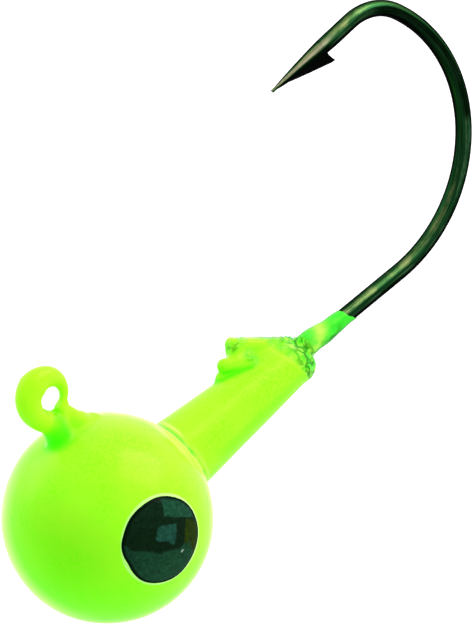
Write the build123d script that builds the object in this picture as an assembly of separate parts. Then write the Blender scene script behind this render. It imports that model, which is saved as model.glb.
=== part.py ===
"""Round jig head, 1/8 oz: a forged wire hook cast into a lead ball, undercoated, painted and eyed.

The frame has its origin in the middle of the line eye, which is where the lure hangs from the line.
+X runs back along the shank to the bend, +Z is up out of the ball, and the hook lies in the XZ plane.
Lengths are millimetres and angles are degrees.
"""

import os
from math import cos, radians, sin

from build123d import *

# ---- driving dimensions ----
WIRE_R = 0.34                 # hook wire radius
BALL_R = 4.25                 # ball radius over the paint
UNDERCOAT = 0.04              # white undercoat thickness
COLOUR_COAT = 0.08            # coloured paint thickness
LEAD_BALL_R = BALL_R - COLOUR_COAT - UNDERCOAT

# ---- line eye ----
HOLE_R = 0.48                 # clear hole through the painted eye
HOLE_LIP = 0.20               # length of the paint wall round the hole
RING_X, RING_Z = -0.10, 0.14  # centre of the bent wire ring, just ahead of and above the hole
RING_R = 0.84                 # ring radius to the middle of the wire
RING_TIP_R = 0.15             # wire radius where the drawn-down ring end stops
RING_TIP_ANGLE = -68          # the ring end stops here, beside the neck
RING_TAPER_ANGLE = 80         # the drawing down starts here, just past the top
RING_NECK_ANGLE = 225         # the ring leaves its circle here and runs down to the neck
NECK_TURN_R = 0.80            # reverse curve between ring and neck

# ---- ball, neck and shank ----
BALL_X, BALL_Z = -0.25, -5.99  # ball centre below the eye
SHANK_RISE = 0.24             # shank axis above the ball centre
HEEL_R = 1.30                 # the right-angle bend of the wire inside the ball
SHANK_Z = BALL_Z + SHANK_RISE
BOSS_R, BOSS_TOP_R = 1.05, 0.52  # lead cone the neck leaves the ball through
BOSS_HEIGHT = 0.42            # height of that cone over the lead ball
BOSS_LENGTH = 1.14            # its whole length, with the part that is sunk in the ball
NECK_COAT_RUN = 0.80          # how far paint runs down the straight neck, into the boss
RING_COAT_FRONT = 0.21        # undercoat and paint together on the front of the ring
RING_COAT_TIP = 0.08          # and on its drawn-down end

# ---- bend and point ----
SHANK_END_X = BALL_X + 16.28  # the shank is straight up to here
BEND_R, BEND_ANGLE = 6.16, 123.6
CROWN_R, CROWN_ANGLE = 2.21, 60.8
POINT_LENGTH = 4.44           # straight from crown to needle tip
NEEDLE_LENGTH = 2.80          # tapered end of it
NEEDLE_TIP_R = 0.025
BARB_BACK = 3.00              # barb tip, back from the needle tip
BARB_DROP = 0.84              # barb tip, below the needle axis
BARB_ROOT_BACK = 0.80         # where the barb leaves the needle's underside
BARB_ROOT_W, BARB_TIP_W = 0.46, 0.14
BARB_WAIST = 0.55             # the barb is widest at this share of its length
BARB_THROAT_BACK, BARB_THROAT_DROP = 0.10, 0.28  # the hollow behind it, ahead of its tip and below the axis

# ---- collar and keeper ----
COLLAR_END = 10.00            # rim of the collar, back from the ball centre
COLLAR_BALL_R = 1.52          # collar radius over the paint where it leaves the ball
COLLAR_RIM_R = 1.03           # and at its rim
COLLAR_DROP = 0.10            # collar axis below the shank axis
COLLAR_START = 3.60           # where the collar starts, inside the ball
DOME_LENGTH = 1.20            # rounded end behind the rim
SHOULDER_BACK, SHOULDER_R = 0.62, 0.80  # a point of its curve, as shares of its length and rim radius
DOME_EXIT_R = 0.50            # lead dome radius where the shank leaves it, clear of the wire
SLEEVE_LENGTH = 1.80          # paint run up the shank
SLEEVE_START_R = 0.56
SLEEVE_END_R = 0.362
PAINT = UNDERCOAT + COLOUR_COAT

# The keeper is two thorns in step, a low one in front and a long one behind it, further out to +Y.
FRONT_NOSE, FRONT_TAIL = 7.50, 8.90   # back from the ball centre
FRONT_HEIGHT, FRONT_R = 1.90, 0.27    # crest over the shank axis, and rounded top's radius
FRONT_SIDE = 0.16                     # out from the hook's plane
REAR_NOSE, REAR_TAIL = 8.30, 10.60
REAR_HEIGHT, REAR_R = 2.05, 0.31
REAR_SIDE = 0.58
CREST_FALL = 0.55                     # fall of a crest per unit run
THORN_FOOT = 0.30                     # thorn root over the shank axis, inside the collar

# ---- painted eyes ----
EYE_SPREAD = 24.8             # half angle the eye spot covers, seen from the ball centre
EYE_CROWN = 0.10              # enamel thickness in the middle of the spot

BALL_CENTRE = Vector(BALL_X, 0, BALL_Z)


def in_plane(x, z):
    """A point of the hook's own plane."""
    return Vector(x, 0, z)


def ring_point(angle):
    return in_plane(RING_X + RING_R * cos(radians(angle)), RING_Z + RING_R * sin(radians(angle)))


def ring_arc(start, end):
    """The ring's centreline between two angles, anticlockwise seen from -Y."""
    return ThreePointArc(ring_point(start), ring_point((start + end) / 2), ring_point(end))


def circle_on(path, share, radius):
    """A round section square across a path, at a share of its length."""
    return path.location_at(share) * Location((0, 0, 0)) * Circle(radius)


def round_sweep(path, radius):
    return sweep(circle_on(path, 0, radius), path=path)


def tapered_sweep(path, start_radius, end_radius):
    sections = [circle_on(path, 0, start_radius), circle_on(path, 1, end_radius)]
    return sweep(sections, path=path, multisection=True)


def turn(point, heading, radius, angle):
    """An arc that starts at point along heading and turns towards the left, and where it ends."""
    side = 1 if angle > 0 else -1
    centre = point + in_plane(-sin(radians(heading)), cos(radians(heading))) * radius * side

    def at(share):
        spoke = radians(heading - 90 * side + angle * share)
        return centre + in_plane(cos(spoke), sin(spoke)) * radius

    return ThreePointArc(point, at(0.5), at(1)), at(1), heading + angle


def neck_path():
    """From the ring down through the reverse curve, the neck and the heel to the end of the shank."""
    start = ring_point(RING_NECK_ANGLE)
    reverse, foot, heading = turn(start, RING_NECK_ANGLE + 90, NECK_TURN_R, 270 - RING_NECK_ANGLE - 90)
    heel_top = in_plane(foot.X, SHANK_Z + HEEL_R)
    heel, heel_end, _ = turn(heel_top, -90, HEEL_R, 90)
    shank = Line(heel_end, in_plane(SHANK_END_X, SHANK_Z))
    return Wire([reverse, Line(foot, heel_top), heel, shank])


def bend_path():
    """Bend, crown and the full-thickness part of the point. Also gives where it ends and its heading."""
    bend, top, heading = turn(in_plane(SHANK_END_X, SHANK_Z), 0, BEND_R, BEND_ANGLE)
    crown, crown_end, heading = turn(top, heading, CROWN_R, CROWN_ANGLE)
    along = in_plane(cos(radians(heading)), sin(radians(heading)))
    needle_root = crown_end + along * (POINT_LENGTH - NEEDLE_LENGTH)
    return Wire([bend, crown, Line(crown_end, needle_root)]), needle_root, along


def needle(root, along):
    """The round tapered end, with the barb raised from its underside."""
    tip = root + along * NEEDLE_LENGTH
    below = in_plane(along.Z, -along.X) if along.X > 0 else in_plane(-along.Z, along.X)
    cone = Plane(origin=root, x_dir=(0, 1, 0), z_dir=along) * Cone(
        WIRE_R, NEEDLE_TIP_R, NEEDLE_LENGTH, align=(Align.CENTER, Align.CENTER, Align.MIN)
    )

    def spot(back, drop):
        return tip - along * back + below * drop

    throat = spot(BARB_BACK - BARB_THROAT_BACK, BARB_THROAT_DROP)
    side_view = [spot(BARB_ROOT_BACK, 0.0), spot(BARB_BACK, BARB_DROP), throat, spot(BARB_BACK, 0.0)]
    blade = extrude(make_face(Polyline(*side_view, close=True)), BARB_ROOT_W / 2, dir=(0, 1, 0), both=True)
    plan = Plane(origin=tip, x_dir=-along, z_dir=below)
    waist_back, end_back = BARB_BACK * BARB_WAIST, BARB_BACK + BARB_THROAT_BACK
    outline = [(0, BARB_TIP_W / 2), (waist_back, BARB_ROOT_W / 2), (end_back, BARB_TIP_W / 2)]
    outline += [(x, -y) for x, y in reversed(outline)]
    waist = extrude(plan * make_face(Polyline(*outline, close=True)), BARB_DROP + WIRE_R, both=True)
    return cone + (blade & waist)


def make_hook():
    """One length of wire: drawn-down ring end, ring, neck, shank, bend, needle point and barb."""
    tail = tapered_sweep(ring_arc(RING_TIP_ANGLE, RING_TAPER_ANGLE), RING_TIP_R, WIRE_R)
    ring = round_sweep(ring_arc(RING_TAPER_ANGLE, RING_NECK_ANGLE), WIRE_R)
    stem = round_sweep(neck_path(), WIRE_R)
    bend, root, along = bend_path()
    return tail + ring + stem + round_sweep(bend, WIRE_R) + needle(root, along)


def along_shank(back, height=0.0):
    """A point on or above the shank axis, placed back from the ball centre."""
    return in_plane(BALL_X + back, SHANK_Z + height)


def collar(skin):
    """Tapered collar and rounded end, turned about the shank axis and taken in by skin."""
    ball_r, rim_r, exit_r = (r - skin for r in (COLLAR_BALL_R, COLLAR_RIM_R, DOME_EXIT_R + PAINT))
    dome_end = COLLAR_END + DOME_LENGTH - skin
    bulge = along_shank(COLLAR_END + DOME_LENGTH * SHOULDER_BACK - skin, rim_r * SHOULDER_R)
    profile = make_face([
        Line(along_shank(COLLAR_START), along_shank(COLLAR_START, ball_r)),
        Line(along_shank(COLLAR_START, ball_r), along_shank(COLLAR_END, rim_r)),
        ThreePointArc(along_shank(COLLAR_END, rim_r), bulge, along_shank(dome_end, exit_r)),
        Line(along_shank(dome_end, exit_r), along_shank(dome_end)),
        Line(along_shank(dome_end), along_shank(COLLAR_START)),
    ])
    return Location((0, 0, -COLLAR_DROP)) * revolve(profile, axis=Axis(along_shank(0), (1, 0, 0)))


def thorn_section(back, side, height, radius, skin):
    """An upright round-topped section across the shank."""
    low, high = THORN_FOOT + skin, height - radius
    reach = radius - skin

    def at(out, rise):
        return along_shank(back, rise) + Vector(0, side + out, 0)

    return make_face([
        Line(at(-reach, low), at(-reach, high)),
        ThreePointArc(at(-reach, high), at(0, high + reach), at(reach, high)),
        Line(at(reach, high), at(reach, low)),
        Line(at(reach, low), at(-reach, low)),
    ])


def thorn(nose, tail, side, height, radius, skin):
    """A keeper thorn: blunt nose towards the ball, crest falling away towards the bend."""
    tail_height = height - CREST_FALL * (tail - nose)
    return loft([
        thorn_section(nose + skin, side, height, radius, skin),
        thorn_section(tail - skin, side, tail_height, radius, skin),
    ])


def keeper(skin):
    front = thorn(FRONT_NOSE, FRONT_TAIL, FRONT_SIDE, FRONT_HEIGHT, FRONT_R, skin)
    return front + thorn(REAR_NOSE, REAR_TAIL, REAR_SIDE, REAR_HEIGHT, REAR_R, skin)


def head(skin):
    """Ball, neck boss, collar and keeper, all taken in by skin from their painted size."""
    ball = Location(BALL_CENTRE) * Sphere(BALL_R - skin)
    foot = in_plane(ring_point(RING_NECK_ANGLE).X + NECK_TURN_R * (1 - cos(radians(45))), 0)
    top_z = BALL_Z + LEAD_BALL_R + BOSS_HEIGHT + PAINT - skin
    boss = Location((foot.X, 0, top_z - BOSS_LENGTH)) * Cone(
        BOSS_R + PAINT - skin, BOSS_TOP_R + PAINT - skin, BOSS_LENGTH,
        align=(Align.CENTER, Align.CENTER, Align.MIN),
    )
    return ball + boss + collar(skin) + keeper(skin)


def eye_tube(extra_front, extra_tip):
    """Coating over the ring and the neck: thicker on the front of the ring than on its drawn-down end."""
    tip = ring_arc(RING_TIP_ANGLE, RING_TAPER_ANGLE)
    tail = tapered_sweep(tip, RING_TIP_R + extra_tip, WIRE_R + extra_tip)
    ring = tapered_sweep(ring_arc(RING_TAPER_ANGLE, 180), WIRE_R + extra_tip, WIRE_R + extra_front)
    start = ring_point(RING_NECK_ANGLE)
    reverse, foot, _ = turn(start, RING_NECK_ANGLE + 90, NECK_TURN_R, 270 - RING_NECK_ANGLE - 90)
    low = Wire([ring_arc(180, RING_NECK_ANGLE), reverse, Line(foot, foot - Vector(0, 0, NECK_COAT_RUN))])
    end_cap = Location(ring_point(RING_TIP_ANGLE)) * Sphere(RING_TIP_R + extra_tip)
    return tail + ring + round_sweep(low, WIRE_R + extra_front) + end_cap


def shank_tube(end_back, start_radius, end_radius):
    """A tapering tube of coating on the shank, from inside the dome to end_back."""
    length = end_back - COLLAR_END
    return Plane(origin=along_shank(COLLAR_END), z_dir=(1, 0, 0)) * Cone(
        start_radius, end_radius, length, align=(Align.CENTER, Align.CENTER, Align.MIN)
    )


def hole_web():
    """The film of paint that closes the ring down to the clear round hole."""
    return Location((RING_X, 0, RING_Z), (90, 0, 0)) * Cylinder(RING_R, HOLE_LIP)


def hole_cutter():
    return Location((0, 0, 0), (90, 0, 0)) * Cylinder(HOLE_R, 4 * WIRE_R + 1)


def eye_spot(side):
    """A domed spot of enamel on one side of the ball."""
    rim_r = BALL_R * sin(radians(EYE_SPREAD))
    rim_y = BALL_R * cos(radians(EYE_SPREAD))
    height = BALL_R - rim_y + EYE_CROWN
    dome_r = (rim_r ** 2 + height ** 2) / (2 * height)
    dome_y = BALL_R + EYE_CROWN - dome_r
    dome = Location(BALL_CENTRE + Vector(0, side * dome_y, 0)) * Sphere(dome_r)
    keep = Location(BALL_CENTRE + Vector(0, side * (rim_y + 1), 0)) * Box(4 * rim_r, 2, 4 * rim_r)
    return (dome & keep) - Location(BALL_CENTRE) * Sphere(BALL_R)


def main():
    hook = make_hook()
    bare = head(PAINT)
    primed = head(COLOUR_COAT) + eye_tube(UNDERCOAT, UNDERCOAT)
    painted = head(0) + eye_tube(RING_COAT_FRONT, RING_COAT_TIP) + hole_web()
    painted += shank_tube(COLLAR_END + DOME_LENGTH + SLEEVE_LENGTH, SLEEVE_START_R, SLEEVE_END_R)
    painted -= hole_cutter()
    parts = {
        "hook": hook,
        "lead_head": bare - hook,
        "white_undercoat": primed - bare - hook,
        "colour_coat": painted - primed - hook,
        "eye_spot_left": eye_spot(-1),
        "eye_spot_right": eye_spot(1),
    }
    os.makedirs("parts", exist_ok=True)
    for name, shape in parts.items():
        export_step(shape, f"parts/{name}.step")


main()
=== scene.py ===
"""Looks for the round jig head: a painted casting, its eye spots and the bronzed hook.

Shapes are worked out in millimetres in the row frame and turned to metres when a mesh is made.
The origin is the middle of the line eye, +X runs back along the shank and +Z is up out of the ball.
The casting is modelled as a signed distance field, so that every joint in it gets a paint fillet.
"""

from math import cos, pi, radians, sin, sqrt

import bpy
import numpy as np
from mathutils import Matrix, Vector

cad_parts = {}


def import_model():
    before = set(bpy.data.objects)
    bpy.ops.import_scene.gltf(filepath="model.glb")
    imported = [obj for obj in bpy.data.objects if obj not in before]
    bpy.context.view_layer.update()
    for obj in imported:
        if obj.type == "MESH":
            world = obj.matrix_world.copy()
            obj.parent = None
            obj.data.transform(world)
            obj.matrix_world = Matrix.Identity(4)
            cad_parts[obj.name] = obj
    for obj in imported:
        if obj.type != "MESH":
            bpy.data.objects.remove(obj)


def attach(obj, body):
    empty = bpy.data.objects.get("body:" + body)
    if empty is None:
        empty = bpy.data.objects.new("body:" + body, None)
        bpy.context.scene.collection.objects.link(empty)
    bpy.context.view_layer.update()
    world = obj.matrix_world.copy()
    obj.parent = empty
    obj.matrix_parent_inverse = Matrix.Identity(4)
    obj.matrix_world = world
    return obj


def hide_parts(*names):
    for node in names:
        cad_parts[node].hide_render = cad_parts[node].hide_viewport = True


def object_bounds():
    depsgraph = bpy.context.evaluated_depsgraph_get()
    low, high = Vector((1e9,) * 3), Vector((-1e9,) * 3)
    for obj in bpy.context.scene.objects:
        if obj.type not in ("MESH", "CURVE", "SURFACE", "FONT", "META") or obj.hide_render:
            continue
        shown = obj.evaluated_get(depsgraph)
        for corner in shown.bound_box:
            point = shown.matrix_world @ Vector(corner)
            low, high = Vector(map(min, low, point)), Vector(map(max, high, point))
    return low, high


MM = 0.001
SEED = 11

# ---- paint ----
UNDERCOAT = 0.04
COLOUR_COAT = 0.08
PAINT = UNDERCOAT + COLOUR_COAT
# How much further in than under the paint elsewhere the undercoat stays, on the ring and at its hole.
RING_INSET, HOLE_INSET, INSET_EDGE = 0.02, 0.1, 0.02

# ---- ball, wire and line eye ----
BALL = np.array((-0.25, 0.0, -5.99))
BALL_R = 4.25
WIRE_R = 0.34
SHANK_Z = BALL[2] + 0.24
HOLE_R = 0.48
RING = np.array((-0.10, 0.0, 0.14))
RING_R = 0.84
RING_TIP_ANGLE, RING_TAPER_ANGLE, RING_NECK_ANGLE = -68, 80, 225
RING_TIP_R = 0.06
RING_TIP_INSET = 0.03
NECK_TURN = RING_NECK_ANGLE - 180
NECK_TURN_R = 0.80
NECK_X = RING[0] + RING_R * cos(radians(RING_NECK_ANGLE)) + NECK_TURN_R * (1 - cos(radians(NECK_TURN)))
HEEL_R = 1.30

# Paint round the ring, by the angle on the ring: its radius, and its middle's offset from the wire's.
RING_COAT_ANGLES = (-68, -38, 0, 50, 110, 180, 225)
RING_COAT_R = (0.22, 0.165, 0.225, 0.42, 0.57, 0.515, 0.45)
RING_COAT_OUT = (-0.04, -0.055, -0.03, -0.01, 0.04, 0.055, 0.09)
NECK_COAT_TOP = (NECK_X + 0.02, 0, -1.1)
FILM = 0.035

# Rods as (one end, other end, radius at each): paint down the neck, its boss, and the web behind it.
NECK_COAT = ((NECK_X, 0, -1.0), (NECK_X, 0, -2.4), 0.47, 0.48)
BOSS = ((NECK_X, 0, -2.2), (NECK_X, 0, -1.35), 0.50, 0.44)
GUSSET = ((0.12, 0.05, -0.88), (0.62, 0.12, -1.66), 0.23, 0.33)
GUSSET_TAIL = (GUSSET[1], (1.25, 0.30, -2.15), GUSSET[3], 0.28)
WEB = ((0.40, 0.05, -0.66), (0.50, 0.06, -1.12), 0.15, 0.19)

# ---- bend and point ----
SHANK_END_X = BALL[0] + 16.28
BEND_R, BEND_ANGLE = 6.16, 123.6
CROWN_R, CROWN_ANGLE = 2.21, 60.8
POINT_LENGTH, NEEDLE_LENGTH = 4.44, 2.80
NEEDLE_TAPER = 0.60
NEEDLE_TIP_R = 0.07
NEEDLE_LEAN = 0.30
BARB_ROOT_BACK, BARB_BACK = 0.70, 2.80
BARB_RISE = 0.53
BARB_OVERHANG = 0.24
BARB_SHOULDER = 1.08
NOTCH_LENGTH, NOTCH_DEPTH = 0.50, 0.06
NOTCH_SPREAD = 1.1
FLAT_Y = 0.312
BEND_END = POINT_LENGTH + CROWN_R * radians(CROWN_ANGLE)
BEND_START = BEND_END + BEND_R * radians(BEND_ANGLE)

# Lengths from the point between which a look or a shape of the wire fades in and out: the forged flats, the
# painted dark reflection, and the painted highlights on the bend and the needle.
FLAT_RUN = (BEND_END - 2.6, BEND_END - 1.4, BEND_START - 4.4, BEND_START - 3.2)
DARK_RUN = (BEND_END - 2.0, BEND_END - 1.0, BEND_END + 5.9, BEND_END + 6.3)
OUTER_RUN = (BEND_END - 1.6, BEND_END, BEND_START - 4.0, BEND_START - 1.0)
NEEDLE_RUN = (0.2, 0.4, BARB_BACK + 0.1, BARB_BACK + 0.8)

# ---- collar, rounded end and sleeve of paint, back from the ball centre ----
COLLAR_START, COLLAR_DROP_BACK, COLLAR_BALL_BACK, COLLAR_END = 2.0, 4.0, 4.5, 10.00
COLLAR_BALL_R, COLLAR_RIM_R = 1.535, 1.035
COLLAR_BALL_DROP, COLLAR_RIM_DROP = 0.115, 0.045
RIM_LEAN = 0.33
DOME_LENGTH = 1.06
SLEEVE_START, SLEEVE_END = 11.0, 13.35
SLEEVE_INSIDE = 1.2
SAG_START, SAG_FULL = 12.4, 11.6
SAG_OUT, SAG_OVER = 0.04, 0.06
SLEEVE_BACK = (SLEEVE_START - 0.8, SLEEVE_START + 0.2, 11.7, 12.3, SLEEVE_END)
SLEEVE_R = (0.60, 0.49, 0.50, 0.42, 0.35)

# ---- keeper: points as (back from the ball centre, height over the shank, out to +Y) ----
LOG = ((7.70, 1.60, 0.29), (8.55, 1.27, 0.0), 0.31, 0.31)
FOOT = ((7.42, 1.14, 0.38), (8.50, 0.96, 0.08), 0.30, 0.23)
FIN = ((8.20, 0.5), (8.24, 1.54), (8.54, 2.06), (10.60, 0.50))
FIN_OUT, FIN_HALF = 0.46, 0.14
FIN_ROUND, FIN_CORNER = 0.25, 0.36
LOG_TAIL, LOG_TAIL_R = (8.70, 1.36, 0.0), 0.46
FIN_CREST, FIN_CREST_SIZE = (8.72, 2.05, 0.46), np.array((0.9, 1.0, 0.22))

# ---- fillet widths, where parts of the casting and the paint join ----
TAIL_FILLET, BOSS_FILLET, NECK_FILLET, WEB_FILLET = 0.35, 0.60, 0.40, 0.30
FIN_FILLET, LOG_FILLET, FOOT_FILLET, BALL_FILLET = 0.34, 0.24, 0.16, 0.12
RING_FILLET, FILM_FILLET, EYE_FILLET, SLEEVE_FILLET = 0.16, 0.08, 0.24, 0.10
NECK_COAT_FILLET = 0.1
DOME_EDGE, HOLE_EDGE, TORN_EDGE = 0.05, 0.03, 0.02

# ---- unevenness: how deep, and how far apart ----
CRACK_DEPTH = 0.055
WAVE_DEPTH, WAVE_SPACING = 0.012, 3.6
LUMP_DEPTH, LUMP_SPACING = 0.020, 0.7
TORN_DEPTH, TORN_SPACING, TORN_SLANT = 0.10, 0.5, 0.55

# ---- eye spots: bulges of the edge as (angle, height, width) ----
EYE_SPREAD = 24.8
EYE_CROWN = 0.10
EYE_LIFT, EYE_SINK = 0.004, 0.06
EYE_BULGES = ((150, 0.035, 0.25), (177, -0.020, 0.14), (206, 0.014, 0.25), (341, 0.015, 0.30))

# ---- view and light ----
AZIMUTH, ELEVATION, ROLL = -23.2, 28.9, 27.6
LENS, SENSOR = 800.0, 36.0
VIEW_SPAN = 25.09
AIM = (-0.120, 0.050, 0.127)
LAMPS = (("key", (126, -69, 91), 0.23), ("back", (-40, 120, 130), 0.06))
LAMP_SIZE = 120
LAMP_AIM = (4, 0, -3)
FLOOR_Z, FLOOR_HALF, FLOOR_CELLS = -34.0, 1200, 40

# ---- detail ----
STEP = 0.05
INNER_STEP = 0.08
BLOCK = 8
PART_BLOCKS = 400
WIRE_SIDES, WIRE_STEP = 48, 0.10
NOTCH_ROWS, BARB_ROWS, TIP_ROWS = 6, 24, 12
EYE_SIDES, EYE_RINGS = 128, 26


# ---------------------------------------------------------------- small sums

def ramp(value, start, end):
    """0 up to start and 1 from end on; end may be below start."""
    return np.clip((value - start) / (end - start), 0, 1)


def bell(value, middle, width):
    """1 at the middle, falling away over about width on both sides."""
    return np.exp(-(((value - middle) / width) ** 2))


def plateau(value, run):
    """Fades in between the first two values of run, and out between the last two."""
    return np.interp(value, run, (0, 1, 1, 0))


def length(vectors):
    return np.sqrt((vectors * vectors).sum(axis=1))


def ripple(p, wavelength, seed):
    """Smooth noise between about -1 and 1, from a few plane waves in scattered directions."""
    rng = np.random.default_rng(seed)
    total = np.zeros(len(p))
    for _ in range(7):
        way = rng.normal(size=3)
        way *= 2 * pi / (wavelength * rng.uniform(0.7, 1.4) * sqrt(way @ way))
        total += np.sin(p @ way + rng.uniform(0, 2 * pi))
    return total / 4


def back_and_over(p):
    """How far points lie behind the ball centre, and over the shank axis."""
    return p[:, 0] - BALL[0], p[:, 2] - SHANK_Z


def shank_point(back, over, out=0.0):
    return np.array((BALL[0] + back, out, SHANK_Z + over))


def ring_point(angle, out=0.0):
    return RING + (RING_R + out) * np.array((cos(radians(angle)), 0, sin(radians(angle))))


# ---------------------------------------------------------------- distance fields

def smooth_min(a, b, k):
    """Union of two fields, with a fillet about k wide."""
    share = np.clip(0.5 + 0.5 * (b - a) / k, 0, 1)
    return b + (a - b) * share - k * share * (1 - share)


def smooth_max(a, b, k):
    """Overlap of two fields, with its edge rounded off about k wide."""
    return -smooth_min(-a, -b, k)


def rod(p, a, b, radius_a, radius_b):
    """A rod between two points with round ends and a changing radius."""
    a, b = np.asarray(a, float), np.asarray(b, float)
    run = b - a
    share = np.clip((p - a) @ run / (run @ run), 0, 1)
    return length(p - a - share[:, None] * run) - (radius_a + (radius_b - radius_a) * share)


def ball_field(p):
    return length(p - BALL) - BALL_R


def collar_field(p):
    """The tapered collar, with a rim that leans back at the bottom and a rounded end."""
    along, over = back_and_over(p)
    back = along + RIM_LEAN * over
    drop = np.interp(along, (COLLAR_DROP_BACK, COLLAR_END), (COLLAR_BALL_DROP, COLLAR_RIM_DROP))
    out = np.hypot(p[:, 1], over + drop)
    slope = (COLLAR_RIM_R - COLLAR_BALL_R) / (COLLAR_END - COLLAR_BALL_BACK)
    straight = COLLAR_RIM_R + slope * (along - COLLAR_END)
    cone = np.maximum(out - straight, back - COLLAR_END)
    cone = np.maximum(cone, COLLAR_START - back)
    size = length(np.stack([(back - COLLAR_END) / DOME_LENGTH, out / COLLAR_RIM_R], 1))
    steepness = length(np.stack([(back - COLLAR_END) / DOME_LENGTH**2, out / COLLAR_RIM_R**2], 1))
    dome = size * (size - 1) / np.maximum(steepness, 1e-6)
    return smooth_min(cone, dome, DOME_EDGE)


def keeper_front(p):
    """The low front thorn: a log that rises forward out of the collar, on a wide foot."""
    log = rod(p, shank_point(*LOG[0]), shank_point(*LOG[1]), *LOG[2:])
    foot = rod(p, shank_point(*FOOT[0]), shank_point(*FOOT[1]), *FOOT[2:])
    return smooth_min(log, foot, FOOT_FILLET)


def keeper_rear(p):
    """The rear thorn: an upright fin whose crest runs down to the rounded end."""
    corners = [shank_point(*corner) for corner in FIN]
    inside = np.full(len(p), -BALL_R)
    for k, start in enumerate(corners):
        run = corners[(k + 1) % len(corners)] - start
        across = np.array((-run[2], 0, run[0])) / sqrt(run @ run)
        inside = smooth_max(inside, (p - start) @ across, FIN_CORNER)
    side = np.abs(p[:, 1] - FIN_OUT) - FIN_HALF
    outside = np.hypot(np.maximum(inside, 0), np.maximum(side, 0))
    return outside + np.minimum(np.maximum(inside, side), 0) - FIN_ROUND


def cast_field(p):
    """Ball, collar, keeper, the boss under the neck and the web behind it, over the paint."""
    head = smooth_min(ball_field(p), rod(p, *GUSSET_TAIL), TAIL_FILLET)
    neck = smooth_min(rod(p, *BOSS), rod(p, *GUSSET), BOSS_FILLET)
    head = smooth_min(smooth_min(head, neck, NECK_FILLET), rod(p, *WEB), WEB_FILLET)
    body = smooth_min(collar_field(p), keeper_rear(p), FIN_FILLET)
    body = smooth_min(body, keeper_front(p), LOG_FILLET)
    return smooth_min(head, body, BALL_FILLET)


def eye_field(p):
    """Paint round the bent ring and the neck, with the film that narrows the ring to a clean hole."""
    flat = p[:, [0, 2]] - RING[[0, 2]]
    angle = np.degrees(np.arctan2(flat[:, 1], flat[:, 0]))
    angle = np.where(angle < -100, angle + 360, angle)
    turn = np.clip(angle, RING_TIP_ANGLE, RING_NECK_ANGLE)
    radius = np.interp(turn, RING_COAT_ANGLES, RING_COAT_R)
    middle = RING_R + np.interp(turn, RING_COAT_ANGLES, RING_COAT_OUT)
    nearest = middle[:, None] * np.stack([np.cos(np.radians(turn)), np.sin(np.radians(turn))], 1)
    ring = np.sqrt(((flat - nearest) ** 2).sum(axis=1) + p[:, 1] ** 2) - radius
    top = ring_point(RING_NECK_ANGLE, RING_COAT_OUT[-1])
    neck = rod(p, top, NECK_COAT_TOP, RING_COAT_R[-1], NECK_COAT[2])
    neck = smooth_min(neck, rod(p, *NECK_COAT), NECK_COAT_FILLET)
    film = np.maximum(np.hypot(flat[:, 0], flat[:, 1]) - RING_R, np.abs(p[:, 1]) - FILM)
    return smooth_min(smooth_min(ring, neck, RING_FILLET), film, FILM_FILLET)


def sleeve_field(p):
    """Paint run up the shank behind the rounded end, lumpy and torn off at a slant."""
    back, over = back_and_over(p)
    radius = np.interp(back, SLEEVE_BACK, SLEEVE_R)
    lumps = LUMP_DEPTH * ripple(p, LUMP_SPACING, SEED + 1)
    torn = back - SLEEVE_END + TORN_SLANT * over + TORN_DEPTH * ripple(p, TORN_SPACING, SEED + 2)
    sag = ramp(back, SAG_START, SAG_FULL)
    tube = np.hypot(p[:, 1] - SAG_OUT * sag, over - SAG_OVER * sag) - radius - lumps
    return smooth_max(np.maximum(tube, SLEEVE_START - SLEEVE_INSIDE - back), torn, TORN_EDGE)


def line_hole(p):
    """Positive inside the clear hole for the line."""
    return HOLE_R - np.hypot(p[:, 0], p[:, 2])


def rough_zone(p):
    """Where the cast metal is rough: the rounded end, and the broken tops of the two thorns."""
    back, over = back_and_over(p)
    start = COLLAR_END - 0.04 + 0.10 * np.clip(over + 0.3, 0, 1.2)
    lean = back + RIM_LEAN * over
    zone = ramp(lean - start, 0, 0.15) * ramp(back, SLEEVE_START + 0.35, SLEEVE_START + 0.05)
    zone = zone * (0.48 + 0.52 * ramp(back - 0.4 * over, 9.9, 10.5))
    tail = 1 - length(p - shank_point(*LOG_TAIL)) / LOG_TAIL_R
    crest = 1 - length((p - shank_point(*FIN_CREST)) / FIN_CREST_SIZE)
    return np.maximum(zone, np.clip(1.1 * np.maximum(tail, crest), 0, 0.55))


def crevice(p):
    """A net of winding cracks between lumps: 1 in the cracks, 0 on the lumps."""
    coarse = bell(ripple(p, 0.50, SEED + 3), 0, 0.24)
    fine = bell(ripple(p, 0.30, SEED + 6), 0, 0.22)
    return np.maximum(coarse, 0.7 * fine)


def painted_field(p):
    """The outside of the finished head."""
    field = smooth_min(cast_field(p), eye_field(p), EYE_FILLET)
    field = field + CRACK_DEPTH * rough_zone(p) * (crevice(p) - 0.3)
    field = smooth_min(field, sleeve_field(p), SLEEVE_FILLET)
    field = field - WAVE_DEPTH * ripple(p, WAVE_SPACING, SEED + 4)
    return smooth_max(field, line_hole(p), HOLE_EDGE)


def undercoat_field(p):
    ring = smooth_max(eye_field(p) + COLOUR_COAT + RING_INSET, line_hole(p) + HOLE_INSET, INSET_EDGE)
    return np.minimum(cast_field(p) + COLOUR_COAT, ring)


def lead_field(p):
    return cast_field(p) + PAINT


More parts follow.
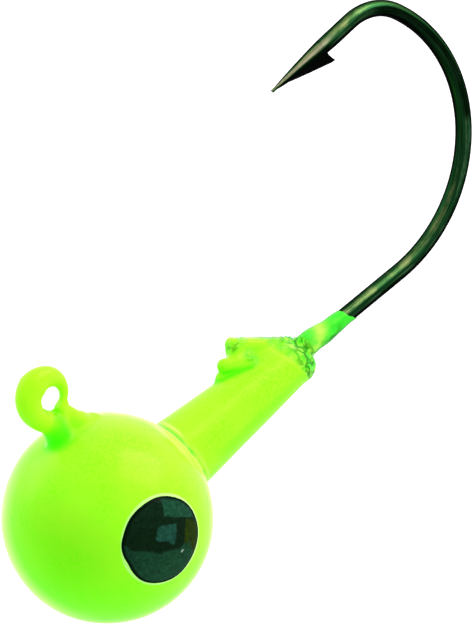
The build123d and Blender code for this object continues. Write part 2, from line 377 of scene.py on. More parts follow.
def crease(p):
    """How deep a point of the painted surface lies in a joint: 1 in the joint, 0 well away from it. It
    places painted shade in the neck's joint on its front side, at the front thorn's foot, in dashes along
    the collar's joint with the ball, and at the line hole's upper front lip.
    """
    neck = 1 - np.maximum(cast_field(p), eye_field(p)) / 0.42
    neck = neck * ramp(p[:, 0], 0.25, -0.25)
    log = 1 - np.maximum(collar_field(p), keeper_front(p)) / 0.22
    collar = 1.5 * (1 - np.maximum(collar_field(p), ball_field(p)) / 0.12)
    collar = collar * np.clip(0.5 + ripple(p, 0.8, SEED + 7), 0, 1)
    lip = 0.55 * ramp(-line_hole(p), 0.22, 0) * ramp(p[:, 2] - p[:, 0], -0.1, 0.3)
    return np.clip(np.maximum(np.maximum(neck, log), np.maximum(collar, lip)), 0, 1)


def painted_rim_sheen(p):
    """Where the gloss is palest, as a painted highlight: along the joint of ball and collar, and in a faint
    band on the ball.
    """
    gap = np.maximum(collar_field(p), ball_field(p))
    rim = 0.75 * bell(gap, 0.20, 0.06) * np.clip(0.6 + ripple(p, 1.2, SEED + 8), 0, 1)
    band = 0.40 * ramp(collar_field(p), 1.15, 1.03) * ramp(p[:, 2] - BALL[2], 0, 1.5)
    return np.maximum(rim, band * (ball_field(p) < 0.1))


# ---------------------------------------------------------------- field to mesh

AXES = np.eye(3, dtype=int)
CORNERS = [np.array((i, j, k)) for i in (0, 1) for j in (0, 1) for k in (0, 1)]


def sample(field, low, high, step):
    """The field on a grid, worked out finely only in the blocks the surface may pass through."""
    half_diagonal, slack = 0.87, 0.25
    side = step * BLOCK
    blocks = np.ceil((high - low) / side).astype(int)
    index = np.stack(np.meshgrid(*[np.arange(n) for n in blocks], indexing="ij"), -1).reshape(-1, 3)
    middle = field(low + (index + 0.5) * side)
    grid = middle.reshape(blocks)
    for axis in range(3):
        grid = np.repeat(grid, BLOCK, axis)
    grid = grid.astype(np.float32)
    offset = np.stack(np.meshgrid(*[np.arange(BLOCK)] * 3, indexing="ij"), -1).reshape(-1, 3)
    near = index[np.abs(middle) < side * half_diagonal + slack]
    for part in np.array_split(near, max(1, len(near) // PART_BLOCKS)):
        nodes = (part[:, None, :] * BLOCK + offset[None]).reshape(-1, 3)
        grid[tuple(nodes.T)] = field(low + nodes * step)
    return grid


def net_vertices(grid):
    """One vertex in each cell the surface passes through, in steps of the grid, and each cell's number."""
    shape = np.array(grid.shape) - 1
    count = np.zeros(shape, np.int8)
    for i, j, k in CORNERS:
        count += grid[i:i + shape[0], j:j + shape[1], k:k + shape[2]] < 0
    mixed = (count > 0) & (count < len(CORNERS))
    cells = np.argwhere(mixed)
    number = np.full(mixed.shape, -1, np.int32)
    number[mixed] = np.arange(len(cells))
    total, hits = np.zeros((len(cells), 3)), np.zeros(len(cells))
    for start in CORNERS:
        for axis in range(3):
            if start[axis]:
                continue
            end = start + AXES[axis]
            first, last = grid[tuple((cells + start).T)], grid[tuple((cells + end).T)]
            crossed = (first < 0) != (last < 0)
            share = np.where(crossed, first / np.where(crossed, first - last, 1), 0)
            total += np.where(crossed[:, None], start + share[:, None] * (end - start), 0)
            hits += crossed
    return cells + total / hits[:, None], number


def net_quads(inside, number):
    """A quad across each edge of the grid that the surface cuts, facing out."""
    quads = []
    for axis in range(3):
        u, v = (axis + 1) % 3, (axis + 2) % 3
        edges = np.argwhere(np.diff(inside.astype(np.int8), axis=axis) != 0)
        edges = edges[(edges[:, u] > 0) & (edges[:, v] > 0) & (edges < number.shape).all(axis=1)]
        around = (-AXES[u] - AXES[v], -AXES[v], 0 * AXES[u], -AXES[u])
        quad = np.stack([number[tuple((edges + d).T)] for d in around], 1)
        flip = ~inside[tuple(edges.T)]
        quad[flip] = quad[flip][:, ::-1]
        quads.append(quad)
    return np.concatenate(quads)


def settle(field, vertices):
    """Moves vertices onto the surface along the field's slope, a short way at a time."""
    h, longest_move, least_slope = 0.004, 0.03, 0.2
    for _ in range(3):
        sides = [field(vertices + h * e) - field(vertices - h * e) for e in np.eye(3)]
        slope = np.stack(sides, 1) / (2 * h)
        steepness = np.maximum((slope**2).sum(axis=1), least_slope)
        move = (field(vertices) / steepness)[:, None] * slope
        size = length(move)[:, None]
        vertices = vertices - move * np.minimum(1, longest_move / np.maximum(size, 1e-9))
    return vertices


def field_mesh(field, low, high, step):
    low, high = np.array(low, float), np.array(high, float)
    grid = sample(field, low, high, step)
    places, number = net_vertices(grid)
    return settle(field, low + places * step), net_quads(grid < 0, number)


# ---------------------------------------------------------------- Blender helpers

def add_mesh(name, vertices, faces, material, smooth_angle=None):
    """A mesh object from millimetre vertices, smooth shaded, sharp only past smooth_angle."""
    mesh = bpy.data.meshes.new(name)
    mesh.from_pydata((np.asarray(vertices) * MM).tolist(), [], list(map(tuple, faces)))
    mesh.validate()
    mesh.shade_smooth()
    if smooth_angle is not None:
        mesh.set_sharp_from_angle(angle=radians(smooth_angle))
    mesh.materials.append(material)
    piece = bpy.data.objects.new(name, mesh)
    bpy.context.scene.collection.objects.link(piece)
    return piece


def add_attributes(piece, **attributes):
    """Stores a number, or a row of three, with each vertex for the material to read."""
    for name, values in attributes.items():
        values = np.asarray(values, np.float32)
        kind, field = ("FLOAT", "value") if values.ndim == 1 else ("FLOAT_VECTOR", "vector")
        attribute = piece.data.attributes.new(name, kind, "POINT")
        attribute.data.foreach_set(field, values.ravel())


def tube_faces(rows, sides):
    """Quads between rows of vertices that each go once round."""
    faces = []
    for row in range(rows - 1):
        for k in range(sides):
            a, b = row * sides + k, row * sides + (k + 1) % sides
            faces.append((a, a + sides, b + sides, b))
    return faces


class Nodes:
    """Short way to fill a node tree."""

    def __init__(self, tree):
        self.tree = tree
        self.tree.nodes.clear()

    def add(self, kind, inputs=None, **settings):
        node = self.tree.nodes.new(kind)
        for key, value in settings.items():
            setattr(node, key, value)
        for key, value in (inputs or {}).items():
            self.put(node.inputs[key], value)
        return node

    def put(self, socket, value):
        if isinstance(value, bpy.types.NodeSocket):
            self.tree.links.new(value, socket)
        else:
            socket.default_value = value

    def maths(self, operation, a, b=0.0):
        return self.add("ShaderNodeMath", {0: a, 1: b}, operation=operation).outputs[0]

    def largest(self, first, *others):
        for other in others:
            first = self.maths("MAXIMUM", first, other)
        return first

    def spread(self, value, low, high, to_low=0.0, to_high=1.0):
        """Maps low to high on to to_low to to_high, and stops at both."""
        limits = {0: value, 1: low, 2: high, 3: to_low, 4: to_high}
        return self.add("ShaderNodeMapRange", limits).outputs[0]

    def mix(self, share, a, b):
        node = self.add("ShaderNodeMix", data_type="RGBA")
        self.put(node.inputs[0], share)
        self.put(node.inputs[6], a)
        self.put(node.inputs[7], b)
        return node.outputs[2]

    def dot(self, vector, way):
        """How far a vector points along a direction."""
        node = self.add("ShaderNodeVectorMath", {0: vector, 1: tuple(way)}, operation="DOT_PRODUCT")
        return node.outputs["Value"]

    def part(self, vector, axis):
        return self.add("ShaderNodeSeparateXYZ", {0: vector}).outputs[axis]


class Material(Nodes):
    """A new material with one shader."""

    def __init__(self, name):
        self.material = bpy.data.materials.new(name)
        self.material.use_nodes = True
        super().__init__(self.material.node_tree)
        self.shader = self.add("ShaderNodeBsdfPrincipled")
        output = self.add("ShaderNodeOutputMaterial")
        self.tree.links.new(self.shader.outputs[0], output.inputs[0])

    def set(self, **values):
        for key, value in values.items():
            self.put(self.shader.inputs[key.replace("_", " ")], value)

    def place(self):
        return self.add("ShaderNodeTexCoord").outputs["Object"]

    def normal(self):
        return self.add("ShaderNodeNewGeometry").outputs["Normal"]

    def facing(self):
        """0 where the surface faces the camera, 1 where it turns out of sight."""
        return self.add("ShaderNodeLayerWeight", {"Blend": 0.5}).outputs["Facing"]

    def noise(self, per_mm, detail=3.0, rough=0.5):
        settings = {"Vector": self.place(), "Scale": per_mm / MM, "Detail": detail, "Roughness": rough}
        return self.add("ShaderNodeTexNoise", settings).outputs[0]

    def bump(self, height, depth_mm):
        links = {"Height": height, "Distance": depth_mm * MM, "Strength": 1.0}
        return self.add("ShaderNodeBump", links).outputs[0]

    def attribute(self, name):
        return self.add("ShaderNodeAttribute", attribute_name=name).outputs["Fac"]


def rgb(red, green, blue):
    return (red, green, blue, 1.0)


# ---------------------------------------------------------------- paint

def lit_paint_colour(n, away, ring_painted_light, pale):
    """The colour of paint that lies open to the light: patchy and speckled, with painted shade making it
    greener low down in front, the ring's colour evened out as painted light, and painted sheen.
    """
    patches = n.spread(n.noise(0.35, 4, 0.6), 0.35, 0.65)
    colour = n.mix(patches, rgb(0.31, 0.90, 0.006), rgb(0.47, 0.94, 0.022))
    speckle = n.spread(n.noise(9.0, 2), 0.35, 0.65)
    colour = n.mix(speckle, colour, rgb(0.45, 0.92, 0.028))
    # Painted shade: greener on the side turned away from the light.
    colour = n.mix(away, colour, rgb(0.15, 0.90, 0.002))
    # Painted light: a less yellow colour on the ring, evening it out together with its glow.
    colour = n.mix(ring_painted_light, colour, rgb(0.27, 0.92, 0.018))
    # Painted sheen: paler where the gloss would catch the light.
    return n.mix(pale, colour, rgb(0.66, 0.96, 0.17))


def painted_edge_sheen(n, normal, facing):
    """Painted sheen: pale gloss where the paint turns out of sight, widest on the front of the ball."""
    forward = n.spread(n.dot(normal, (-0.94, 0.29, 0.12)), 0.45, 0.85)
    front = n.maths("MULTIPLY", n.spread(facing, 0.56, 0.82, 0.0, 0.75), forward)
    return n.largest(front, n.spread(facing, 0.72, 0.98, 0.0, 0.8))


def eye_halo(n):
    """The thin light line round each eye spot."""
    from_ball = n.add("ShaderNodeVectorMath", {0: n.place(), 1: tuple(BALL * MM)}, operation="SUBTRACT")
    unit = n.add("ShaderNodeVectorMath", {0: from_ball.outputs[0]}, operation="NORMALIZE").outputs[0]
    sideways = n.maths("ABSOLUTE", n.part(unit, 1))
    outer, inner = cos(radians(EYE_SPREAD + 1.7)), cos(radians(EYE_SPREAD + 1.1))
    return n.spread(sideways, outer, inner, 0.0, 0.75)


def cracks_bare_and_edge_shade(n, facing, rough, sleeve):
    """Cracks in the rough metal and the bare patch, with painted shade as a dark edge on the rear end and
    the sleeve where they turn out of sight.
    """
    coarse = n.maths("ABSOLUTE", n.maths("SUBTRACT", n.noise(1.5, 1.5), 0.5))
    fine = n.maths("ABSOLUTE", n.maths("SUBTRACT", n.noise(2.4, 1.5), 0.5))
    lines = n.largest(n.spread(coarse, 0.020, 0.066, 0.9, 0.0), n.spread(fine, 0.009, 0.044, 0.8, 0.0))
    lines = n.maths("MULTIPLY", lines, rough)
    # Painted shade where the rear end turns out of sight.
    rear_edge_shade = n.maths("MULTIPLY", n.spread(facing, 0.66, 0.90), n.attribute("rear"))
    # Painted shade where the sleeve turns out of sight.
    sleeve_edge_shade = n.maths("MULTIPLY", n.spread(facing, 0.45, 0.80, 0.0, 0.75), sleeve)
    return n.largest(lines, n.attribute("bare"), rear_edge_shade, sleeve_edge_shade)


def painted_glow(n, unshaded_share, ring_painted_light, shade, pale, bare_metal, marks_and_edge_shade):
    """The light that the fluorescent paint gives off, as a painted glow that no lamp drives: kept green in
    painted shade, reddened on the ring to even out its painted light, and paler under the painted sheen.
    """
    glow = n.mix(ring_painted_light, rgb(0.0, 0.30, 0.0), rgb(0.22, 0.40, 0.0))
    glow = n.mix(unshaded_share, rgb(0.0, 0.50, 0.0), glow)
    glow = n.mix(shade, glow, rgb(0.0, 0.50, 0.0))
    glow = n.mix(pale, glow, rgb(0.22, 0.45, 0.06))
    glow = n.mix(bare_metal, glow, rgb(0.0, 0.12, 0.0))
    return n.mix(marks_and_edge_shade, glow, rgb(0.0, 0.0, 0.0))


def paint_material():
    """Fluorescent chartreuse gloss: bright over the undercoat and deep green over bare wire, with painted
    shade deep green in corners, joints and on the side turned away, painted sheen, and a painted glow.
    """
    n = Material("chartreuse_paint")
    normal, facing = n.normal(), n.facing()
    joint, rough, sleeve = (n.attribute(name) for name in ("crease", "rough", "sleeve"))
    # Painted shade: share of the surface turned away from the light, low down in front.
    away = n.spread(n.dot(normal, (-0.80, 0.10, -0.59)), 0.05, 0.85, 0.0, 0.50)
    # Where the ring's colour and glow are evened out as painted light.
    ring_painted_light = n.spread(n.part(n.place(), 2), -1.8 * MM, -0.8 * MM)
    pale = n.largest(n.attribute("pale"), painted_edge_sheen(n, normal, facing))
    # Ambient occlusion, for painted shade in corners.
    corner_occlusion = n.add("ShaderNodeAmbientOcclusion", {"Distance": 0.9 * MM}, samples=12).outputs["AO"]
    unshaded_share = n.spread(corner_occlusion, 0.42, 0.82)
    # Painted reflection: a darker band along the collar's lower side.
    collar_shade_band = n.spread(n.dot(normal, (0.0, -0.958, -0.287)), 0.965, 0.992, 0.0, 0.32)
    collar_shade_band = n.maths("MULTIPLY", collar_shade_band, n.attribute("collar"))
    lumps = n.mix(n.spread(n.noise(2.0, 2), 0.42, 0.62), rgb(0.07, 0.70, 0.012), rgb(0.44, 0.91, 0.07))
    thin = n.mix(n.noise(1.2, 2), rgb(0.02, 0.66, 0.02), rgb(0.09, 0.86, 0.06))
    marks_and_edge_shade = cracks_bare_and_edge_shade(n, facing, rough, sleeve)
    # Painted shade: deep green in corners.
    colour = n.mix(unshaded_share, rgb(0.025, 0.85, 0.001), lit_paint_colour(n, away, ring_painted_light, pale))
    # Painted shade: deep green in the joints.
    colour = n.mix(joint, colour, rgb(0.030, 0.85, 0.001))
    # Painted reflection: the darker band low on the collar.
    colour = n.mix(collar_shade_band, colour, rgb(0.17, 0.86, 0.002))
    colour = n.mix(eye_halo(n), colour, rgb(0.78, 0.97, 0.40))
    colour = n.mix(rough, colour, lumps)
    colour = n.mix(sleeve, colour, thin)
    colour = n.mix(n.attribute("yellow"), colour, rgb(0.60, 0.94, 0.10))
    colour = n.mix(marks_and_edge_shade, colour, rgb(0.008, 0.26, 0.003))
    glow = painted_glow(n, unshaded_share, ring_painted_light, n.largest(joint, away), pale, n.largest(rough, sleeve), marks_and_edge_shade)
    # The emission is the painted glow.
    n.set(Base_Color=colour, Roughness=n.spread(n.noise(0.8), 0.3, 0.7, 0.16, 0.26), IOR=1.38,
          Normal=n.bump(n.noise(2.2, 3), 0.010), Specular_Tint=rgb(0.6, 1.0, 0.1),
          Emission_Color=glow, Emission_Strength=1.0)
    return n.material


# ---------------------------------------------------------------- other materials

def bronze_material():
    """Bronzed wire: green-black lacquer with drawn streaks, with painted light: a warm painted highlight on
    the side turned up, lighter painted lines, and painted shade on the sides turned away, underneath and at
    the edges.
    """
    n = Material("bronze_wire")
    normal = n.normal()
    grain = n.add("ShaderNodeAttribute", attribute_name="grain").outputs["Vector"]
    drawn = {"Vector": grain, "Scale": 7.0, "Detail": 4.0, "Roughness": 0.6}
    drawn = n.add("ShaderNodeTexNoise", drawn).outputs[0]
    uneven = n.spread(n.noise(0.7, 4, 0.65), 0.25, 0.75, -0.06, 0.06)
    grooves = n.spread(drawn, 0.3, 0.7, -0.05, 0.05)
    wobble = n.maths("ADD", uneven, grooves)

    def turned(way, low, high, most=1.0):
        """Share of the surface that is turned this way, with an uneven edge."""
        return n.spread(n.maths("ADD", n.dot(normal, way), wobble), low, high, 0.0, most)

    def streaked(low, high, dark, light):
        return n.mix(n.spread(drawn, low, high), dark, light)

    green = streaked(0.38, 0.62, rgb(0.006, 0.050, 0.012), rgb(0.024, 0.135, 0.040))
    top_highlight = n.mix(n.spread(n.noise(1.4, 3), 0.4, 0.6), rgb(0.09, 0.22, 0.06), rgb(0.27, 0.35, 0.12))
    outer = streaked(0.4, 0.6, rgb(0.012, 0.06, 0.015), rgb(0.07, 0.20, 0.06))
    tan = streaked(0.4, 0.6, rgb(0.16, 0.22, 0.10), rgb(0.52, 0.45, 0.30))
    under = n.spread(n.dot(normal, (0.0, -0.2, -0.98)), 0.16, 0.46, 0.0, 0.97)
    # Painted shade: near black on the sides turned away from the light, green where turned towards it.
    colour = n.mix(turned((-0.1, -0.80, 0.6), 0.35, 0.95), rgb(0.001, 0.006, 0.002), green)
    # Painted highlight: the warm line on the side turned up.
    colour = n.mix(turned((-0.16, -0.62, 0.77), 0.90, 1.02), colour, top_highlight)
    # Painted highlight: a faint lighter share turned up and back.
    colour = n.mix(turned((0.42, -0.50, 0.76), 0.90, 1.0, 0.7), colour, rgb(0.045, 0.14, 0.035))
    # Painted highlight: a thin light line on the side turned to the front and a little down.
    colour = n.mix(turned((0.0, -0.985, -0.17), 0.975, 1.01, 0.45), colour, rgb(0.12, 0.28, 0.13))
    # Painted shade: near black underneath.
    colour = n.mix(under, colour, rgb(0.0005, 0.003, 0.001))
    # Painted highlight on the outer side of the bend.
    colour = n.mix(n.attribute("outer"), colour, outer)
    # Painted highlight along the needle's upper flank.
    colour = n.mix(n.attribute("polished"), colour, tan)
    # Painted dark reflection on the forged flats, and painted shade on the needle's lower flank.
    colour = n.mix(n.attribute("dark"), colour, rgb(0.0008, 0.005, 0.0015))
    # Painted shade where the wire turns out of sight.
    colour = n.mix(n.spread(n.facing(), 0.42, 0.66), colour, rgb(0.0004, 0.002, 0.0008))
    n.set(Base_Color=colour, Metallic=0.92, Roughness=n.spread(drawn, 0.3, 0.7, 0.26, 0.42),
          Normal=n.bump(drawn, 0.010), Specular_Tint=rgb(0.01, 0.04, 0.015))
    return n.material


def enamel_material():
    """Black enamel so glossy that it would mirror the studio, shown as a painted reflection given off as
    light: a dark room, a pale table and some soft boxes.
    """
    n = Material("black_enamel")
    mirrored = n.add("ShaderNodeTexCoord").outputs["Reflection"]
    wobble = n.spread(n.noise(1.1, 3), 0.3, 0.7, -0.06, 0.06)

    def along(axis):
        return n.maths("ADD", n.dot(mirrored, axis), wobble)

    def between(value, low, high, soft=0.03):
        rise = n.spread(value, low, low + soft)
        return n.maths("MULTIPLY", rise, n.spread(value, high - soft, high, 1.0, 0.0))

    right, up, back = view_axes()
    height = along(up)
    turn = n.maths("ARCTAN2", along(back), along(right))
    on_table = n.spread(along(right * 0.354 + up * 0.780 + back * 0.517), 0.02, 0.06, 1.0, 0.0)
    table = n.mix(n.spread(turn, -0.2, 1.4), rgb(0.010, 0.055, 0.024), rgb(0.006, 0.036, 0.017))
    room = n.mix(n.spread(height, -0.3, 0.5), rgb(0.003, 0.012, 0.004), rgb(0.005, 0.020, 0.008))
    # Painted reflection of the room and the table.
    seen = n.mix(on_table, room, table)
    painted_box_reflections = (
        ((0.14, 0.62), (-0.37, -0.07), rgb(0.011, 0.064, 0.042)),
        ((-0.50, 0.48), (0.04, 0.60), rgb(0.012, 0.072, 0.036)),
        ((-0.85, -0.08), (-0.30, 0.03), rgb(0.018, 0.036, 0.0)),
        ((-0.22, -0.13), (-0.44, -0.35), rgb(0.30, 0.42, 0.36)),
    )
    for turn_span, height_span, light in painted_box_reflections:
        inside = n.maths("MULTIPLY", between(turn, *turn_span), between(height, *height_span))
        seen = n.mix(inside, seen, light)
    grain = n.spread(n.noise(7.0, 3, 0.7), 0.3, 0.7, 0.55, 1.45)
    seen = n.add("ShaderNodeVectorMath", {0: seen, "Scale": grain}, operation="SCALE").outputs[0]
    # The painted reflection fades to dark at the spot's edge.
    seen = n.mix(n.spread(n.attribute("rim"), 0.90, 0.96), seen, rgb(0.0, 0.003, 0.001))
    # The painted reflection is given off as light.
    n.set(Base_Color=rgb(0.001, 0.004, 0.002), Roughness=n.spread(n.noise(1.5), 0.3, 0.7, 0.04, 0.08),
          Specular_IOR_Level=0.02, Emission_Color=seen, Emission_Strength=1.0)
    return n.material


def lead_material():
    n = Material("lead")
    tone = n.noise(1.1, 5, 0.6)
    n.set(Base_Color=n.mix(tone, rgb(0.12, 0.125, 0.135), rgb(0.33, 0.34, 0.36)), Metallic=0.9,
          Roughness=n.spread(tone, 0.3, 0.7, 0.45, 0.7), Normal=n.bump(n.noise(3.0, 5), 0.03))
    return n.material


def undercoat_material():
    n = Material("white_paint")
    n.set(Base_Color=n.mix(n.noise(0.8, 3), rgb(0.80, 0.80, 0.76), rgb(0.88, 0.88, 0.85)),
          Roughness=n.spread(n.noise(2.0), 0.3, 0.7, 0.6, 0.8), Normal=n.bump(n.noise(4.0, 3), 0.01))
    return n.material


def floor_material():
    """Matt pale card. It is lifted to paper white for the camera, without lighting the object more."""
    n = Material("pale_floor")
    seen = n.add("ShaderNodeLightPath").outputs["Is Camera Ray"]
    n.set(Base_Color=n.mix(n.noise(0.02, 3), rgb(0.86, 0.86, 0.86), rgb(0.90, 0.90, 0.90)), Roughness=0.9,
          Normal=n.bump(n.noise(0.4, 3), 0.05), Emission_Color=rgb(1, 1, 1),
          Emission_Strength=n.maths("MULTIPLY", seen, 0.45))
    return n.material


# ---------------------------------------------------------------- painted head

def make_painted_head():
    """The whole painted outside, with the shares of each look stored on its vertices."""
    low, high = (-4.8, -4.6, -10.6), (13.5, 4.6, 1.9)
    vertices, quads = field_mesh(painted_field, low, high, STEP)
    piece = add_mesh("painted_coat", vertices, quads, paint_material())
    back, over = back_and_over(vertices)
    mottle = ripple(vertices, 0.5, SEED + 5)
    rough = rough_zone(vertices)
    sleeve = ramp(back, SLEEVE_START + 0.05, SLEEVE_START + 0.25)
    yellow = bell(back - 1.3 * over, 11.38, 0.40) * np.clip(0.7 + 1.5 * over + 0.9 * mottle, 0, 1)
    patch = bell(back, 12.25, 0.48) * np.clip(0.1 - 5.5 * over + 1.2 * mottle, 0, 1)
    seam = bell(back, SLEEVE_START + 0.12, 0.07) * np.clip(0.5 + mottle, 0, 1)
    # Shares for the material: the sleeve, its yellow streak and bare patches, the rough metal, and where
    # painted shade and painted sheen go in the joints, on the collar's lower band and at the rear end.
    add_attributes(
        piece,
        sleeve=sleeve,
        yellow=0.8 * yellow * sleeve,
        bare=np.maximum(0.9 * patch * sleeve, 0.7 * seam),
        rough=rough,
        crease=crease(vertices),
        pale=painted_rim_sheen(vertices),
        collar=ramp(back + RIM_LEAN * over, 4.6, 5.2) * (1 - rough) * (1 - sleeve),
        rear=ramp(back, 9.2, 9.7) * np.maximum(ramp(over, -0.35, -0.05), 0.35),
    )
    return piece


def make_inner(name, field, material):
    low, high = (-4.9, -4.7, -10.7), (12.0, 4.7, 1.9)
    vertices, quads = field_mesh(field, low, high, INNER_STEP)
    return add_mesh(name, vertices, quads, material)


# ---------------------------------------------------------------- hook

def wire_path():
    """The wire's bends in order, as the length of each straight, or the radius and turn of each arc."""
    neck_foot = ring_point(RING_NECK_ANGLE)[2] - NECK_TURN_R * sin(radians(NECK_TURN))
    return [
        ("arc", RING_R, RING_NECK_ANGLE - RING_TIP_ANGLE),
        ("arc", NECK_TURN_R, -NECK_TURN),
        ("line", neck_foot - (SHANK_Z + HEEL_R)),
        ("arc", HEEL_R, 90),
        ("line", SHANK_END_X - (NECK_X + HEEL_R)),
        ("arc", BEND_R, BEND_ANGLE),
        ("arc", CROWN_R, CROWN_ANGLE),
        ("line", POINT_LENGTH),
    ]


def walk(moves, place, heading, spacing):
    """Points and headings along a run of lines and arcs in the XZ plane."""
    places, headings = [place], [heading]
    for move in moves:
        run = move[1] if move[0] == "line" else move[1] * radians(abs(move[2]))
        steps = max(2, round(run / spacing))
        turn = 0 if move[0] == "line" else move[2] / steps
        for _ in range(steps):
            middle = radians(heading + turn / 2)
            reach = 2 * move[1] * sin(radians(abs(turn)) / 2) if turn else run / steps
            place = place + reach * np.array((cos(middle), 0, sin(middle)))
            heading += turn
            places.append(place)
            headings.append(heading)
    return np.array(places), np.array(headings)


def wire_rows(run):
    """Where the sections stand along the wire, with the barb's rise and the notch's depth at each."""
    end = run[-1]
    plain = [(s, 0, 0) for s in run if end - s > BARB_BACK + NOTCH_LENGTH]
    notch = [(end - BARB_BACK - NOTCH_LENGTH * (1 - share), 0, NOTCH_DEPTH * share)
             for share in np.linspace(0, 1, NOTCH_ROWS + 1)]
    barb = [(end - BARB_BACK + (BARB_BACK - BARB_ROOT_BACK) * share,
             BARB_RISE * min(1, BARB_SHOULDER * (1 - share)), 0)
            for share in np.linspace(0, 1, BARB_ROWS + 1)]
    tip = [(end - BARB_ROOT_BACK * (1 - share), 0, 0) for share in np.linspace(0, 1, TIP_ROWS + 1)[1:]]
    return plain + notch + barb + tip


def teardrop(angles, radius, rise):
    """A round section drawn out to an edge, rise beyond the round, in the direction of angle zero."""
    lean = np.arccos(radius / (radius + rise))
    off = np.abs(angles)
    return np.where(off < lean, radius / np.cos(np.maximum(lean - off, 0)), radius)


def section_reach(angles, radius, rise, notch, to_tip):
    """How far the surface is from the wire's middle, with the barb, the notch and the forged flats."""
    reach = teardrop(angles, radius, rise) - notch * ramp(np.abs(angles), NOTCH_SPREAD, 0)
    flat = np.minimum(reach, FLAT_Y / np.maximum(np.abs(np.sin(angles)), 0.01))
    return reach + plateau(to_tip, FLAT_RUN) * (flat - reach)


def wire_looks(angles, to_tip):
    """Shares of the dark, outer and needle highlight looks round a section: painted dark reflection on the
    forged flats with painted shade on the needle's lower flank, a painted highlight on the bend's outer
    side, and a painted highlight on the needle's upper flank. Angle zero is the bend's inside.
    """
    outward = -np.cos(angles)
    on_needle = plateau(to_tip, NEEDLE_RUN)
    flat_face = ramp(np.abs(np.sin(angles)), 0.90, 0.94)
    lower_flank = ramp(outward, 0.40, 0.25)
    upper_flank = ramp(outward, 0.40, 0.52) * ramp(outward, 0.93, 0.85)
    dark = np.maximum(0.85 * plateau(to_tip, DARK_RUN) * flat_face, 0.97 * on_needle * lower_flank)
    outer = 0.85 * plateau(to_tip, OUTER_RUN) * ramp(outward, 0.45, 0.60)
    return dark, outer, 0.9 * on_needle * upper_flank


def wire_radius(s, to_tip):
    """The wire's radius: tapered at the ring's hidden end and along the needle."""
    taper_end = RING_R * radians(RING_TAPER_ANGLE - RING_TIP_ANGLE)
    radius = max(WIRE_R * min(1, to_tip / NEEDLE_LENGTH) ** NEEDLE_TAPER, NEEDLE_TIP_R)
    return min(radius, np.interp(s, (0, taper_end), (RING_TIP_R, WIRE_R)))


def make_hook():
    """One sweep along the wire, with the needle's taper and the barb made in the sections."""
    angles = (np.arange(WIRE_SIDES) / WIRE_SIDES * 2 * pi + pi) % (2 * pi) - pi
    places, headings = walk(wire_path(), ring_point(RING_TIP_ANGLE), RING_TIP_ANGLE + 90, WIRE_STEP)
    run = np.concatenate([[0], np.cumsum(length(np.diff(places, axis=0)))])
    rows = wire_rows(run)
    vertices, grain, looks = [], [], []
    for s, rise, notch in rows:
        to_tip = run[-1] - s
        heading = radians(np.interp(s, run, headings))
        along = np.array((cos(heading), 0, sin(heading)))
        inward = np.array((-sin(heading), 0, cos(heading)))
        radius = wire_radius(s, to_tip)
        centre = np.array([np.interp(s, run, places[:, k]) for k in range(3)])
        centre = centre + np.interp(s, (0.5, 1.6), (RING_TIP_INSET, 0)) * inward
        if to_tip < NEEDLE_LENGTH:
            centre = centre - NEEDLE_LEAN * (WIRE_R - radius) * inward
        reach = section_reach(angles, radius, rise, notch, to_tip)
        swept = BARB_OVERHANG * ramp(reach - radius, 0, BARB_RISE)
        around = np.cos(angles)[:, None] * inward + np.sin(angles)[:, None] * np.array((0, 1, 0))
        vertices += list(centre + reach[:, None] * around - swept[:, None] * along)
        grain += [(cos(a), sin(a), 0.06 * s) for a in angles]
        looks.append(np.stack(wire_looks(angles, to_tip)))
    faces = tube_faces(len(rows), WIRE_SIDES)
    faces.append(tuple(range(WIRE_SIDES)))
    faces.append(tuple(range((len(rows) - 1) * WIRE_SIDES, len(rows) * WIRE_SIDES))[::-1])
    piece = add_mesh("hook_wire", vertices, faces, bronze_material(), 38)
    # Painted light on the wire: dark reflections, shade and highlights.
    dark, outer, polished = np.concatenate(looks, axis=1)
    add_attributes(piece, grain=grain, dark=dark, outer=outer, polished=polished)
    return piece


# ---------------------------------------------------------------- eye spots

def eye_edge(turn):
    """The spot's half angle seen from the ball centre, by the angle round the spot."""
    edge = 1 + 0.010 * np.sin(3 * turn + 1) + 0.006 * np.sin(7 * turn)
    for angle, height, width in EYE_BULGES:
        edge += height * bell((turn - radians(angle) + pi) % (2 * pi) - pi, 0, width)
    return edge * radians(EYE_SPREAD)


def make_eye(name, side, material):
    """A domed drop of enamel on the ball, with a slightly uneven edge."""
    turn = np.arange(EYE_SIDES) / EYE_SIDES * 2 * pi
    edge = eye_edge(turn)

    def ring(share, lift):
        polar = edge * share
        along, up = np.sin(polar) * np.cos(turn), np.sin(polar) * np.sin(turn)
        return BALL + (BALL_R + lift) * np.stack([along, side * np.cos(polar), up], 1)

    shares = [sin(k / EYE_RINGS * pi / 2) for k in range(1, EYE_RINGS + 1)]
    rings = [ring(share, EYE_CROWN * (1 - share**4) ** 0.5 + EYE_LIFT) for share in shares]
    rings.append(ring(0.99, -EYE_SINK))
    top = BALL + np.array((0, side * (BALL_R + EYE_CROWN + EYE_LIFT), 0))
    bottom = BALL + np.array((0, side * (BALL_R - EYE_SINK), 0))
    vertices = np.concatenate(rings + [[top, bottom]])
    faces = tube_faces(len(rings), EYE_SIDES)
    last = (len(rings) - 1) * EYE_SIDES
    for k in range(EYE_SIDES):
        following = (k + 1) % EYE_SIDES
        faces.append((len(vertices) - 2, k, following))
        faces.append((len(vertices) - 1, last + following, last + k))
    if side > 0:
        faces = [face[::-1] for face in faces]
    piece = add_mesh(name, vertices, faces, material)
    add_attributes(piece, rim=np.concatenate([np.repeat(shares + [1.0], EYE_SIDES), (0.0, 1.0)]))
    return piece


# ---------------------------------------------------------------- stage

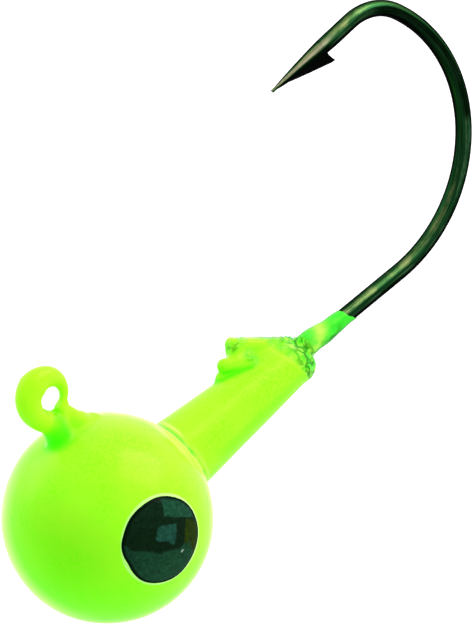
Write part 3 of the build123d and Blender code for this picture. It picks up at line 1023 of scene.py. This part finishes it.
def add_floor():
    steps = np.linspace(-FLOOR_HALF, FLOOR_HALF, FLOOR_CELLS + 1)
    vertices = [(x, y, FLOOR_Z) for x in steps for y in steps]
    row = FLOOR_CELLS + 1
    faces = [(i * row + j, (i + 1) * row + j, (i + 1) * row + j + 1, i * row + j + 1)
             for i in range(FLOOR_CELLS) for j in range(FLOOR_CELLS)]
    floor = add_mesh("floor", vertices, faces, floor_material())
    floor.visible_glossy = False


def add_lamp(name, place, power):
    light = bpy.data.lights.new(name, "AREA")
    light.shape = "RECTANGLE"
    light.size = light.size_y = LAMP_SIZE * MM
    light.energy = power
    lamp = bpy.data.objects.new(name, light)
    lamp.location = Vector(place) * MM
    lamp.rotation_euler = (Vector(LAMP_AIM) * MM - lamp.location).to_track_quat("-Z", "Y").to_euler()
    bpy.context.scene.collection.objects.link(lamp)


def set_world():
    """A white tent with its opening towards the camera: bright behind and above, dim in front and below."""
    world = bpy.data.worlds.new("studio")
    bpy.context.scene.world = world
    world.use_nodes = True
    n = Nodes(world.node_tree)
    _, up, back = view_axes()
    way = n.add("ShaderNodeTexCoord").outputs["Generated"]
    front = n.spread(n.dot(way, back), -0.1, 0.95, 1.25, 0.42)
    low = n.spread(n.dot(way, up), -0.40, 0.10, 0.62, 1.0)
    sky = n.add("ShaderNodeBackground", {"Strength": n.maths("MULTIPLY", front, low)})
    n.tree.links.new(sky.outputs[0], n.add("ShaderNodeOutputWorld").inputs[0])


def view_axes():
    """The camera's right, up and back directions: a rolled three-quarter view from the left front."""
    azimuth, elevation, roll = (radians(a) for a in (AZIMUTH, ELEVATION, ROLL))
    back = Vector((sin(azimuth) * cos(elevation), -cos(azimuth) * cos(elevation), sin(elevation)))
    level = Vector((cos(azimuth), sin(azimuth), 0))
    right = level * cos(roll) - back.cross(level) * sin(roll)
    return right, back.cross(right), back


def add_camera(box):
    """A very long lens, aimed at the middle of the object."""
    right, up, back = view_axes()
    centre = (box[0] + box[1]) / 2 + Vector(AIM) * MM
    camera = bpy.data.cameras.new("camera")
    camera.lens = LENS
    camera.sensor_width = SENSOR
    camera.clip_start = 0.005
    camera.clip_end = 10
    holder = bpy.data.objects.new("camera", camera)
    turned = Matrix((right, up, back)).transposed().to_4x4()
    turned.translation = centre + back * (VIEW_SPAN * MM * LENS / SENSOR)
    holder.matrix_world = turned
    bpy.context.scene.collection.objects.link(holder)
    bpy.context.scene.camera = holder


def main():
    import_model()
    cad_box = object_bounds()
    enamel = enamel_material()
    pieces = [
        (make_painted_head(), "colour_coat", "chartreuse_paint"),
        (make_inner("undercoat", undercoat_field, undercoat_material()), "white_undercoat", "white_paint"),
        (make_inner("lead_casting", lead_field, lead_material()), "lead_head", "lead"),
        (make_hook(), "hook", "bronze_wire"),
        (make_eye("left_eye", -1, enamel), "eye_spot_left", "black_enamel"),
        (make_eye("right_eye", 1, enamel), "eye_spot_right", "black_enamel"),
    ]
    for piece, node, slot in pieces:
        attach(piece, "root")
        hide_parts(node)
    set_world()
    add_floor()
    for lamp in LAMPS:
        add_lamp(*lamp)
    bpy.context.scene.view_settings.view_transform = "Standard"
    add_camera(cad_box)


main()
